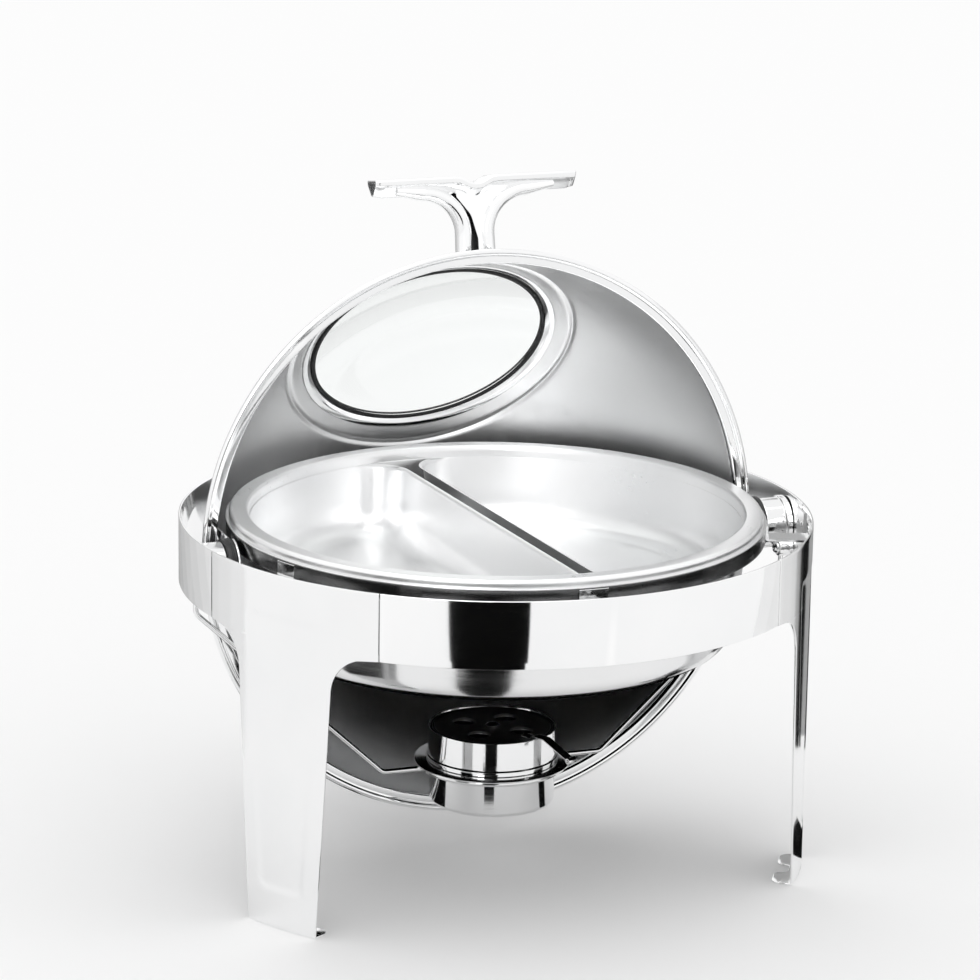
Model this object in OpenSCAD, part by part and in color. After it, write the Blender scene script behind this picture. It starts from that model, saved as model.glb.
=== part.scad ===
// Round roll top chafer: ring frame on three legs, divided food pan over a water pan,
// fuel burner in a wire cradle, dome lid with a round window that rolls down behind the pans.
// Millimetres. +Z up, origin on the floor under the ring's centre. Front is -Y, the lid turns about X.

/* [Frame] */
// gap between the lid's rim and the outside of the ring
ring_gap = 17.5; // [16:0.5:30]
// height of the ring's top edge above the lid's pivot
ring_lip = 25; // [24:0.5:34]
// height of the ring's band
band_h = 50; // [49:1:62]
// sheet thickness of the ring and legs
sheet_t = 1.5; // [1.2:0.1:2]
// width of a leg where it meets the band
leg_top_w = 92; // [80:1:96]
// width of a leg at the floor
leg_foot_w = 66; // [50:1:72]
// corner radius between band and leg
leg_fillet = 30; // [16:1:32]
// length of the foot tongues, towards the middle
foot_len = 22; // [16:1:28]
// gap left at each band joint
seam_gap = 0.5; // [0.3:0.1:1]

/* [Pans] */
// outside diameter of the food pan's rim
pan_d = 400; // [300:1:500]
// width of the food pan's flat rim
pan_rim_w = 14; // [10:1:18]
// depth inside the food pan
pan_depth = 62; // [45:1:66]
// width of the divider's top
divider_w = 17; // [8:1:20]
// drop of the divider below the rim
divider_drop = 9; // [4:1:16]
// turn of the food pan about the upright axis
pan_turn = 4; // [0:1:20]
// overall depth of the water pan
bath_depth = 93.5; // [80:0.5:98]
// gap between the food pan's rim and the support hoop's outside
hoop_gap = 2; // [1.5:0.5:4]
// pan sheet thickness
pan_t = 0.9; // [0.7:0.1:1.2]

/* [Lid] */
// how far the dome's outside stands out beyond the food pan's rim
dome_gap = 11; // [10.5:0.5:20]
// dome sheet thickness
dome_t = 1; // [0.8:0.1:1.5]
// height of the open dome's lowest point above the floor
lid_clear = 30; // [10:1:80]
// dome centre above the pivot, lid shut
dome_off = 15; // [13:0.5:17]
// rim plane above the pivot, lid shut
rim_off = 33; // [31:0.5:36]
// width of the rim flange
rim_w = 9; // [6:0.5:12]
// window centre's angle above the dome's centre, lid shut
win_elev = 50.5; // [46:0.5:52]
// window opening's half angle
win_half = 26; // [20:0.5:27]
// glass thickness
glass_t = 3; // [2.5:0.5:4]

/* [Handle] */
// handle's angle above the dome's centre, lid shut
grip_elev = 10.5; // [10:0.5:12]
// length of the grip bar
grip_len = 158; // [120:1:190]
// bar centre's distance out from the dome
grip_out = 56; // [48:1:66]
// radius of the grip bar
grip_r = 8; // [7:0.5:9]
// spacing of the two feet
foot_gap = 20; // [18:1:26]

/* [Hub] */
// drum radius
drum_r = 19; // [17:0.5:20]
// how far the friction washer stands out beyond the drum
washer_lip = 2; // [1:0.5:3]
// pivot pin radius
pin_r = 4; // [3:0.5:5]

/* [Burner] */
// fuel cup radius
cup_r = 47.5; // [42:0.5:48]
// height of the cup's base above the open dome's lowest point
cup_clear = 10; // [9.5:0.5:16]
// height of the cradle wire above the cup's base
wire_up = 30; // [26:1:36]
// cradle wire radius
wire_r = 2; // [1.5:0.5:3]
// gap between the cup and the middle of the cradle's loop
loop_gap = 7.5; // [6:0.5:10]

/* [Hidden] */
$fn = 96;

pan_r = pan_d / 2;
dome_r = pan_r + dome_gap;
rim_r = dome_r + rim_w;
pivot_z = dome_r + lid_clear;
ring_r = rim_r + ring_gap;
ring_top = pivot_z + ring_lip;
ring_in = ring_r - sheet_t;
ring_bot = ring_top - band_h;
fit = 0.05;
eps = 0.02;
steel = [0.78, 0.79, 0.80];
satin = [0.70, 0.70, 0.71];
dark = [0.08, 0.08, 0.09];
// the panel of each leg spans 40 degrees of the ring; the bands fill the rest
panel_half = 20;
panel_u = ring_r * sin(panel_half) - seam_gap;
seam_deg = asin(seam_gap / 2 / ring_in);

// pans
hoop_r = pan_r + hoop_gap;
hoop_top = ring_top - 2.5;
water_flange_top = hoop_top + 1;
water_base = water_flange_top - bath_depth;
pan_top = water_flange_top + 6;
pan_in = pan_r - pan_rim_w;
pan_floor = pan_top - pan_depth;
pan_bot_r = pan_in - 10;
water_top_r = pan_in + 4;
water_bot_r = pan_in - 8;
strap_t = 1.2;
strap_in = ring_in - strap_t;

// hub, along X from the middle outwards; the plate's corners stay clear of the inside of the dome
washer_r = drum_r + washer_lip;
ear_half = washer_r - 2;
ear_top = rim_off + 13;
ear_clear = 0.43;
ear_t = 1.8;
dome_in = dome_r - dome_t;
ear_far = ear_top - dome_off;
ear_x1 = sqrt(dome_in * dome_in - ear_half * ear_half - ear_far * ear_far) - ear_clear;
ear_x0 = ear_x1 - ear_t;
washer_x0 = ear_x1 + 0.15;
washer_x1 = washer_x0 + 7.05;
pin_x0 = ear_x0 - 0.15;
head_r = pin_r + 2.4;
head_t = 1.8;
lug = drum_r - 3;
rivet_y = 10;
rivet_z = rim_off + 7;

// lid, in the shut frame measured from the pivot
win_r = dome_r * sin(win_half);
hole_r = win_r + 1.6;
trim_r = dome_r * sin(win_half + 3);
bead_r = dome_r * sin(win_half + 6.7);

// burner
cup_base = lid_clear + cup_clear;
wire_z = cup_base + wire_up;
loop_r = cup_r + loop_gap;
flange_z = wire_z + wire_r;
cup_t = 0.8;
cap_r = cup_r + 1.2;
cap_top = flange_z + 28;
handle_az = 25;

// a, the azimuth, is 0 at the front and grows towards +X
module at(a) { rotate([0, 0, a]) children(); }
module arc_shell(r0, r1, z0, z1, a0, a1)
    rotate([0, 0, a0 - 90]) rotate_extrude(angle = a1 - a0) translate([r0, z0]) square([r1 - r0, z1 - z0]);
module tube(r0, r1, z0, z1) translate([0, 0, z0]) difference() {
    cylinder(r = r1, h = z1 - z0);
    translate([0, 0, -1]) cylinder(r = r0, h = z1 - z0 + 2);
}
module xcyl(r, x0, x1) translate([x0, 0, 0]) rotate([0, 90, 0]) cylinder(r = r, h = x1 - x0);
// a flat profile in (u, z) carried out along the front direction between radii
module radial(d0, d1) translate([0, -d0, 0]) rotate([90, 0, 0]) linear_extrude(height = d1 - d0) children();
module lid_open() translate([0, 0, pivot_z]) rotate([-90, 0, 0]) children();
module dome_centre() translate([0, 0, dome_off]) children();
// local +Z along a direction at an angle above the front horizon
module aim(elev) rotate([90 - elev, 0, 0]) children();

module band(a0, a1) color(steel) arc_shell(ring_in, ring_r, ring_bot, ring_top, a0 + seam_deg, a1 - seam_deg);
module band_front() band(-60 + panel_half, 60 - panel_half);
module band_right() band(60 + panel_half, 180 - panel_half);
module band_left() band(-180 + panel_half, -60 - panel_half);

function edge_at(z) = leg_foot_w / 2 + (leg_top_w - leg_foot_w) / 2 * z / ring_bot;
edge_tilt = atan((leg_top_w - leg_foot_w) / 2 / ring_bot);
fil_z = ring_bot - leg_fillet;
fil_u = edge_at(fil_z) + leg_fillet / cos(edge_tilt);
module leg_outline() {
    translate([-panel_u, ring_bot]) square([2 * panel_u, band_h]);
    polygon([[-edge_at(0), 0], [edge_at(0), 0], [edge_at(ring_bot), ring_bot + 1], [-edge_at(ring_bot), ring_bot + 1]]);
    for (s = [-1, 1]) scale([s, 1]) difference() {
        polygon([[edge_at(ring_bot) - 1, ring_bot + 1], [fil_u, ring_bot + 1], [fil_u, fil_z],
            [fil_u - leg_fillet * cos(edge_tilt), fil_z - leg_fillet * sin(edge_tilt)],
            [edge_at(fil_z - 2) - 1, fil_z - 2]]);
        translate([fil_u, fil_z]) circle(r = leg_fillet - eps);
    }
}
emb = 13;
module emboss_outline() polygon([[-edge_at(24) + emb, 24], [edge_at(24) - emb, 24],
    [edge_at(ring_bot) - emb, ring_top - 30], [-edge_at(ring_bot) + emb, ring_top - 30]]);
notch = 9;
module leg(a) color(steel) at(a) {
    difference() {
        intersection() {
            tube(ring_in, ring_r, 0, ring_top);
            radial(150, ring_r + 5) leg_outline();
        }
        intersection() {
            tube(ring_r - 0.5, ring_r + 3, -1, ring_top + 1);
            radial(150, ring_r + 5) emboss_outline();
        }
    }
    difference() {
        intersection() {
            tube(ring_in - foot_len, ring_in + 0.5, 0, sheet_t);
            radial(150, ring_r + 5) translate([-edge_at(0), -1]) square([2 * edge_at(0), 10]);
        }
        translate([0, -ring_in + foot_len - notch + 5, -1]) cylinder(r = notch, h = 10);
        translate([-notch, -ring_in + foot_len - notch + 5, -1]) cube([2 * notch, 40, 10]);
    }
}
module leg_front_left() leg(-60);
module leg_front_right() leg(60);
module leg_rear() leg(180);

seams = [-160, -80, -40, 40, 80, 160];
module joint_straps() color(satin) for (a = seams)
    arc_shell(strap_in, ring_in, ring_bot + 4, ring_top - 5, a - 2.6, a + 2.6);
module joint_rivets() color(steel) for (a = seams) for (s = [-1.3, 1.3]) for (z = [14, band_h - 15]) at(a + s)
    translate([0, -strap_in + eps, ring_bot + z]) rotate([-90, 0, 0]) cylinder(r = 2.4, h = 1.1);

// support ring under the water pan's flange, held off the ring by three brackets
brk_z = hoop_top - 12;
side_az = 68;
module pan_hoop() color(steel) tube(hoop_r - 1.6, hoop_r, brk_z, hoop_top);
module bracket(w) intersection() {
    union() {
        tube(hoop_r, ring_in, brk_z, brk_z + 1.6);
        tube(ring_in - 1.6, ring_in, brk_z, ring_top - 5);
        tube(hoop_r, hoop_r + 1.6, brk_z, hoop_top);
    }
    translate([-w / 2, -ring_r, brk_z - 1]) cube([w, 120, 40]);
}
module hoop_bracket_front() color(steel) bracket(24);
module hoop_brackets_side() color(steel) for (s = [-1, 1]) at(s * side_az) bracket(20);
// heads on the foot that lies against the ring
module bracket_rivets() color(steel) for (a = [-side_az, 0, side_az]) for (s = [-1.5, 1.5]) at(a + s)
    translate([0, -ring_in + 1.6 + eps, brk_z + 6.5]) rotate([-90, 0, 0]) cylinder(r = 2.2, h = 1.1);

module hub_drum(s) color(steel) scale([s, 1, 1]) difference() {
    intersection() {
        translate([0, 0, pivot_z]) union() {
            xcyl(drum_r, washer_x1, ring_r);
            xcyl(drum_r + 1.4, washer_x1 + 16.5, ring_r);
            translate([0, -lug, -lug]) xcyl(6.4, washer_x1 + 10, ring_r);
        }
        cylinder(r = ring_in, h = 400);
    }
    translate([0, 0, pivot_z]) xcyl(pin_r, washer_x1 - 1, washer_x1 + 15);
    translate([0, -lug, pivot_z - lug]) {
        xcyl(2, washer_x1 + 9, washer_x1 + 18);
        xcyl(5, washer_x1 - 1, washer_x1 + 10);
    }
}
module hub_drum_left() hub_drum(-1);
module hub_drum_right() hub_drum(1);
module hub_washer(s) color(dark) scale([s, 1, 1]) translate([0, 0, pivot_z]) difference() {
    xcyl(washer_r, washer_x0, washer_x1);
    xcyl(pin_r, washer_x0 - 1, washer_x1 + 1);
}
module hub_washer_left() hub_washer(-1);
module hub_washer_right() hub_washer(1);
module pivot_pin(s) color(steel) scale([s, 1, 1]) translate([0, 0, pivot_z]) {
    xcyl(head_r, pin_x0 - head_t, pin_x0);
    xcyl(pin_r, pin_x0 - 0.5, washer_x1 + 14.8);
}
module pivot_pin_left() pivot_pin(-1);
module pivot_pin_right() pivot_pin(1);
module hub_screws() color(steel) for (s = [-1, 1]) scale([s, 1, 1]) translate([0, -lug, pivot_z - lug]) difference() {
    union() {
        xcyl(4.6, washer_x1 + 7, washer_x1 + 10);
        xcyl(2, washer_x1 + 9.5, washer_x1 + 17.8);
    }
    translate([washer_x1 + 6, -0.6, -6]) cube([2, 1.2, 12]);
}

// wire cradle: a loop under the cup's flange and an arm up to the ring on each side
// the arms are a touch thinner than the loop, so that their surfaces cross cleanly
arm_r = wire_r - 0.2;
arm_x0 = loop_r + 33;
arm_x1 = ring_in - wire_r - 0.1;
arm_z1 = ring_bot - 9;
// the wire ends stand against the ring and stop short of the hub's flange
arm_end = pivot_z - drum_r - 2;
arm_run = arm_x1 - arm_x0;
arm_rise = arm_z1 - wire_z;
arm_len = sqrt(arm_run * arm_run + arm_rise * arm_rise);
arm_tilt = atan(arm_run / arm_rise);
module fuel_cradle() color(steel) {
    translate([0, 0, wire_z]) rotate_extrude() translate([loop_r, 0]) circle(r = wire_r, $fn = 24);
    for (s = [-1, 1]) scale([s, 1, 1]) {
        translate([loop_r, 0, wire_z]) rotate([0, 90, 0]) cylinder(r = arm_r, h = arm_x0 - loop_r, $fn = 24);
        translate([arm_x0, 0, wire_z]) sphere(r = wire_r, $fn = 24);
        translate([arm_x0, 0, wire_z]) rotate([0, arm_tilt, 0]) cylinder(r = arm_r, h = arm_len, $fn = 24);
        translate([arm_x1, 0, arm_z1]) sphere(r = wire_r, $fn = 24);
        translate([arm_x1, 0, arm_z1]) cylinder(r = arm_r, h = arm_end - arm_z1, $fn = 24);
    }
}

// lid
module lid_shell() color(satin) lid_open() difference() {
    dome_centre() union() {
        difference() {
            sphere(r = dome_r);
            sphere(r = dome_in);
        }
        aim(win_elev) rotate_extrude() translate([bead_r, sqrt((dome_r - 0.5) * (dome_r - 0.5) - bead_r * bead_r)])
            circle(r = 1.3, $fn = 24);
    }
    translate([-2 * dome_r, -2 * dome_r, rim_off - 4 * dome_r]) cube(4 * dome_r);
    dome_centre() aim(win_elev) translate([0, 0, dome_r / 2]) cylinder(r = hole_r, h = dome_r);
    for (s = [-1, 1]) for (y = [-rivet_y, rivet_y]) scale([s, 1, 1]) translate([0, y, rivet_z]) xcyl(2, ear_x0 - 4, dome_r + 9);
    dome_centre() foot_axes() translate([0, 0, dome_r - 31]) cylinder(r = 2, h = 60);
}
module lid_rim() color(steel) lid_open() rotate_extrude() {
    translate([dome_in - 1.5, rim_off - 1.6]) square([rim_r - 2.2 - dome_in + 1.5, 1.6]);
    translate([rim_r - 2.2, rim_off - 1.6]) circle(r = 2.2, $fn = 24);
}
module ear(s) color(steel) lid_open() scale([s, 1, 1]) difference() {
    union() {
        xcyl(washer_r, ear_x0, ear_x1);
        translate([ear_x0, -ear_half, 0]) cube([ear_x1 - ear_x0, 2 * ear_half, ear_top]);
    }
    xcyl(pin_r + fit, ear_x0 - 1, ear_x1 + 1);
    for (y = [-rivet_y, rivet_y]) translate([0, y, rivet_z]) xcyl(2, ear_x0 - 1, ear_x1 + 1);
}
module lid_ear_left() ear(-1);
module lid_ear_right() ear(1);
module ear_rivets() color(steel) lid_open() for (s = [-1, 1]) for (y = [-rivet_y, rivet_y])
    scale([s, 1, 1]) translate([0, y, rivet_z]) {
        xcyl(4, ear_x0 - 1.2, ear_x0);
        xcyl(2, ear_x0 - 0.5, dome_r);
        xcyl(3.2, ear_x1, ear_x1 + 0.8);
        xcyl(4, dome_r - 1, dome_r + 0.2);
    }
module window_glass() color([0.8, 0.85, 0.87, 0.35]) lid_open() dome_centre() intersection() {
    difference() {
        sphere(r = dome_r);
        sphere(r = dome_r - glass_t);
    }
    aim(win_elev) translate([0, 0, dome_r / 2]) cylinder(r = win_r - 0.6, h = dome_r);
}
module window_gasket() color(dark) lid_open() dome_centre() difference() {
    aim(win_elev) translate([0, 0, dome_r / 2]) cylinder(r = hole_r, h = dome_r);
    aim(win_elev) translate([0, 0, dome_r / 2 - 1]) cylinder(r = win_r - 0.6, h = dome_r + 2);
    sphere(r = dome_r - 5);
    difference() {
        sphere(r = 2 * dome_r);
        sphere(r = dome_r + 1.2);
    }
}
module trim(r0, r1, c0, c1) lid_open() dome_centre() intersection() {
    difference() {
        sphere(r = r1);
        sphere(r = r0);
    }
    aim(win_elev) translate([0, 0, dome_r / 2]) difference() {
        cylinder(r = c1, h = dome_r);
        translate([0, 0, -1]) cylinder(r = c0, h = dome_r + 2);
    }
}
module window_trim_outer() color(steel) trim(dome_r, dome_r + 1.4, hole_r, trim_r);
module window_trim_inner() color(steel) trim(dome_in - 1.4, dome_in, hole_r, trim_r);

// handle: two feet that sweep outwards into one grip bar
bend_r = 34;
foot_tilt = asin(foot_gap / 2 / dome_r);
module foot_axes() aim(grip_elev) for (s = [-1, 1]) rotate([0, s * foot_tilt, 0]) children();
bar_w = dome_r + grip_out;
post_top = bar_w - 6 - bend_r;
module grip_bar() color(steel) lid_open() dome_centre() aim(grip_elev) {
    translate([0, 0, bar_w]) xcyl(grip_r, -grip_len / 2 + grip_r, grip_len / 2 - grip_r);
    for (s = [-1, 1]) {
        translate([s * (grip_len / 2 - grip_r), 0, bar_w]) sphere(r = grip_r);
        difference() {
            translate([s * foot_gap / 2, 0, dome_r + 2.5]) cylinder(r = 5.8, h = post_top - dome_r - 2.5);
            rotate([0, s * foot_tilt, 0]) translate([0, 0, dome_r + 1]) cylinder(r = 2, h = 9);
        }
        translate([s * (foot_gap / 2 + bend_r), 0, post_top]) rotate([90, 0, 0]) rotate([0, 0, s > 0 ? 90 : 0])
            rotate_extrude(angle = 90) translate([bend_r, 0]) circle(r = 5.8, $fn = 32);
    }
}
module grip_feet() color(steel) lid_open() dome_centre() foot_axes() translate([0, 0, dome_r + 0.18]) difference() {
    cylinder(r = 8.2, h = 2.6);
    translate([0, 0, -1]) cylinder(r = 2, h = 8);
}
module grip_screws() color(steel) lid_open() dome_centre() foot_axes() {
    translate([0, 0, dome_in - 2.2]) cylinder(r = 5, h = 2.12);
    translate([0, 0, dome_in - 1]) cylinder(r = 2, h = dome_t + 9.5);
}

// pans
module cup2(rt, rb, f, h) {
    polygon([[0, f], [rb, f], [rt, h], [0, h]]);
    square([rb - f, f + 1]);
    translate([rb - f, f]) intersection() {
        circle(r = f);
        translate([0, -f]) square([f, f + 0.01]);
    }
}
module water_pan() color(steel) difference() {
    rotate_extrude() {
        translate([0, water_base]) cup2(water_top_r, water_bot_r, 16, water_flange_top - water_base);
        translate([water_top_r - 2, water_flange_top - 1]) square([hoop_r + 0.6 - water_top_r + 2, 1]);
    }
    rotate_extrude() translate([0, water_base + pan_t])
        cup2(water_top_r - pan_t, water_bot_r - pan_t, 15, water_flange_top - water_base);
}
div_top = pan_top - divider_drop;
module divider_slab(w, z1) rotate([90, 0, 0]) translate([0, 0, -pan_r]) linear_extrude(height = 2 * pan_r)
    polygon([[-w / 2 - 3.5, pan_floor - 5], [w / 2 + 3.5, pan_floor - 5], [w / 2, z1], [-w / 2, z1]]);
module food_pan() color(satin) rotate([0, 0, pan_turn]) difference() {
    rotate_extrude() {
        translate([0, pan_floor - pan_t]) cup2(pan_in, pan_bot_r, 20, pan_depth + pan_t);
        translate([pan_in - 3, pan_top - pan_t]) square([pan_rim_w + 3 - 2.5, pan_t]);
        translate([pan_r - pan_t, water_flange_top]) square([pan_t, pan_top - water_flange_top - 2.5]);
        translate([pan_r - 2.5, pan_top - 2.5]) difference() {
            circle(r = 2.5, $fn = 32);
            circle(r = 2.5 - pan_t, $fn = 32);
            translate([-3, -3]) square([3, 6]);
            translate([-3, -3]) square([6, 3]);
        }
    }
    difference() {
        rotate_extrude() translate([0, pan_floor])
            cup2(pan_in - pan_t, pan_bot_r - pan_t, 19, pan_depth + 1);
        divider_slab(divider_w, div_top);
    }
    intersection() {
        translate([0, 0, pan_floor - 10]) cylinder(r = pan_bot_r - 4, h = 100);
        divider_slab(divider_w - 2 * pan_t, div_top - pan_t);
    }
}

// burner
module burner_cup() color(steel) difference() {
    union() {
        translate([0, 0, cup_base]) cylinder(r = cup_r, h = flange_z + 5 - cup_base);
        translate([0, 0, flange_z]) cylinder(r = loop_r + 5, h = 1.2);
    }
    translate([0, 0, cup_base + cup_t]) cylinder(r = cup_r - cup_t, h = 100);
}
module burner_cap() color(steel) difference() {
    union() {
        translate([0, 0, flange_z + 1.2]) cylinder(r = cap_r + 1.6, h = 4);
        translate([0, 0, flange_z + 1.2]) cylinder(r = cap_r, h = cap_top - flange_z - 1.2);
    }
    translate([0, 0, flange_z]) cylinder(r = cup_r, h = 6.3);
    translate([0, 0, flange_z]) cylinder(r = cap_r - 1, h = cap_top - 4 - flange_z);
    translate([0, 0, cap_top - 3]) cylinder(r = cap_r - 1.6, h = 10);
    for (a = [0:90:270]) rotate([0, 0, a]) translate([24, 0, 0]) cylinder(r = 9, h = 200);
    cylinder(r = 2, h = 200);
}
module fuel_can() color(satin) difference() {
    translate([0, 0, cup_base + cup_t]) cylinder(r = cup_r - cup_t - 2.5, h = cap_top - 12 - cup_base);
    translate([0, 0, cup_base + cup_t + 0.8]) cylinder(r = cup_r - cup_t - 3.3, h = cap_top - 13.6 - cup_base);
    translate([0, 0, cup_base + 12]) cylinder(r = 30, h = 100);
}
module fuel_gel() color([0.55, 0.2, 0.45, 0.8]) translate([0, 0, cup_base + cup_t + 0.8])
    cylinder(r = cup_r - cup_t - 3.3, h = 32);
module damper_pin() color(steel) {
    translate([0, 0, cap_top - 4]) cylinder(r = 2, h = 2.4);
    translate([0, 0, cap_top - 3]) cylinder(r = 3, h = 2.4);
    translate([0, 0, cap_top - 0.6]) cylinder(r = 5.5, h = 1);
}
disc_z = cap_top - 2.8;
module damper_disc() color(satin) difference() {
    translate([0, 0, disc_z]) cylinder(r = cap_r - 2.4, h = 1.4);
    cylinder(r = 3 + fit, h = 200);
    for (a = [45:90:315]) rotate([0, 0, a]) translate([24, 0, 0]) cylinder(r = 9, h = 200);
}
module damper_handle() color(steel) at(handle_az) translate([-4, 0, 0]) rotate([90, 0, 90]) linear_extrude(height = 8)
    translate([-cap_r, 0]) polygon([[14.7, disc_z + 1.4], [4.7, disc_z + 1.4], [3.5, cap_top + 0.8],
        [-7.3, cap_top + 0.8], [-35.3, cap_top - 11], [-35.3, cap_top - 9.7], [-7.6, cap_top + 2],
        [4.7, cap_top + 2], [5.9, disc_z + 2.6], [14.7, disc_z + 2.6]]);

band_front();
band_left();
band_right();
leg_front_left();
leg_front_right();
leg_rear();
joint_straps();
joint_rivets();
pan_hoop();
hoop_bracket_front();
hoop_brackets_side();
bracket_rivets();
hub_drum_left();
hub_drum_right();
hub_washer_left();
hub_washer_right();
pivot_pin_left();
pivot_pin_right();
hub_screws();
fuel_cradle();
lid_shell();
lid_rim();
lid_ear_left();
lid_ear_right();
ear_rivets();
window_glass();
window_gasket();
window_trim_outer();
window_trim_inner();
grip_bar();
grip_feet();
grip_screws();
water_pan();
food_pan();
burner_cup();
burner_cap();
fuel_can();
fuel_gel();
damper_pin();
damper_disc();
damper_handle();
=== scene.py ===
import math

import bmesh
import bpy
from mathutils import Matrix, Vector


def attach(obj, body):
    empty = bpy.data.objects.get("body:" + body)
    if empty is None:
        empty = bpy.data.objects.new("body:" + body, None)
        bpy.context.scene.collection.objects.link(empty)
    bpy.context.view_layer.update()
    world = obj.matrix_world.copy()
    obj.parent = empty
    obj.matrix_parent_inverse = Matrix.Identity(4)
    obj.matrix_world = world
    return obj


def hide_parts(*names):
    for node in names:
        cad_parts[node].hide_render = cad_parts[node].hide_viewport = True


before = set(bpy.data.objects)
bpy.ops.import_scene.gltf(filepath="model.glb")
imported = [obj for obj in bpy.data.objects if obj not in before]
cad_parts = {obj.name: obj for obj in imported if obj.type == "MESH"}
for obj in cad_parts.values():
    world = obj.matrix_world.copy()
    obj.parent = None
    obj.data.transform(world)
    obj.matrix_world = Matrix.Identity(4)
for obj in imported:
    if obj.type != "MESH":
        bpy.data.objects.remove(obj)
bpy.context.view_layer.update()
scene = bpy.context.scene
scene.view_settings.view_transform = "Standard"
rad = math.radians

# ---------------------------------------------------------------- sizes, millimetres
RING_R, RING_IN, RING_TOP, RING_BOT = 237.5, 236.0, 266.0, 216.0
PIVOT_Z = 241.0
DOME_R, DOME_OFF, RIM_OFF = 211.0, 15.0, 33.0
WIN_ELEV, WIN_HALF = 50.5, 26.0
GRIP_ELEV, GRIP_OUT = 10.5, 56.0
PAN_R, PAN_TOP, PAN_IN, PAN_FLOOR = 200.0, 270.5, 186.0, 208.5
HOOP_R, HOOP_TOP = 202.0, 263.5
FLANGE_Z, CUP_BASE, CUP_R, CAP_TOP, CAP_R = 72.0, 40.0, 47.5, 100.0, 48.7
WIRE_Z, WIRE_R, LOOP_R = 70.0, 2.0, 55.0

LID_OPEN = Matrix.Translation((0, 0, PIVOT_Z)) @ Matrix.Rotation(rad(-90), 4, "X")
DOME = LID_OPEN @ Matrix.Translation((0, 0, DOME_OFF))


def aim(elev):
    return DOME @ Matrix.Rotation(rad(90 - elev), 4, "X")


# ---------------------------------------------------------------- finishes
def new_finish(name):
    m = bpy.data.materials.new(name)
    m.use_nodes = True
    return m, m.node_tree, m.node_tree.nodes["Principled BSDF"]


def put(nt, kind, **given):
    n = nt.nodes.new(kind)
    for k, v in given.items():
        setattr(n, k, v)
    return n


def grain(nt, stretch, scale=1.0, detail=3.0):
    """Noise drawn out along the brush direction, in object space."""
    co = put(nt, "ShaderNodeTexCoord")
    mp = put(nt, "ShaderNodeMapping")
    mp.inputs["Scale"].default_value = stretch
    no = put(nt, "ShaderNodeTexNoise")
    no.inputs["Scale"].default_value = scale
    no.inputs["Detail"].default_value = detail
    nt.links.new(co.outputs["Object"], mp.inputs["Vector"])
    nt.links.new(mp.outputs["Vector"], no.inputs["Vector"])
    return no


def round_grain(nt, radial, along, centre=(0, 0, 0), turn=(0, 0, 0)):
    """Noise in fine rings round the local Z axis, as a polishing wheel leaves them."""
    co = put(nt, "ShaderNodeTexCoord")
    mp = put(nt, "ShaderNodeMapping", vector_type="TEXTURE")
    mp.inputs["Location"].default_value = centre
    mp.inputs["Rotation"].default_value = turn
    sp = put(nt, "ShaderNodeSeparateXYZ")
    flat = put(nt, "ShaderNodeCombineXYZ")
    length = put(nt, "ShaderNodeVectorMath", operation="LENGTH")
    out = put(nt, "ShaderNodeCombineXYZ")
    r = put(nt, "ShaderNodeMath", operation="MULTIPLY")
    r.inputs[1].default_value = radial
    z = put(nt, "ShaderNodeMath", operation="MULTIPLY")
    z.inputs[1].default_value = along
    no = put(nt, "ShaderNodeTexNoise")
    no.inputs["Scale"].default_value = 1.0
    no.inputs["Detail"].default_value = 2.0
    ln = nt.links.new
    ln(co.outputs["Object"], mp.inputs["Vector"])
    ln(mp.outputs["Vector"], sp.inputs["Vector"])
    ln(sp.outputs["X"], flat.inputs["X"])
    ln(sp.outputs["Y"], flat.inputs["Y"])
    ln(flat.outputs["Vector"], length.inputs[0])
    ln(length.outputs["Value"], r.inputs[0])
    ln(sp.outputs["Z"], z.inputs[0])
    ln(r.outputs["Value"], out.inputs["X"])
    ln(z.outputs["Value"], out.inputs["Z"])
    ln(out.outputs["Vector"], no.inputs["Vector"])
    return no


def span(nt, source, low, high, start=0.3, end=0.7):
    m = put(nt, "ShaderNodeMapRange")
    m.inputs["From Min"].default_value = start
    m.inputs["From Max"].default_value = end
    m.inputs["To Min"].default_value = low
    m.inputs["To Max"].default_value = high
    nt.links.new(source, m.inputs["Value"])
    return m.outputs["Result"]


def summed(nt, a, b):
    m = put(nt, "ShaderNodeMath", operation="ADD")
    nt.links.new(a, m.inputs[0])
    nt.links.new(b, m.inputs[1])
    return m.outputs["Value"]


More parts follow.
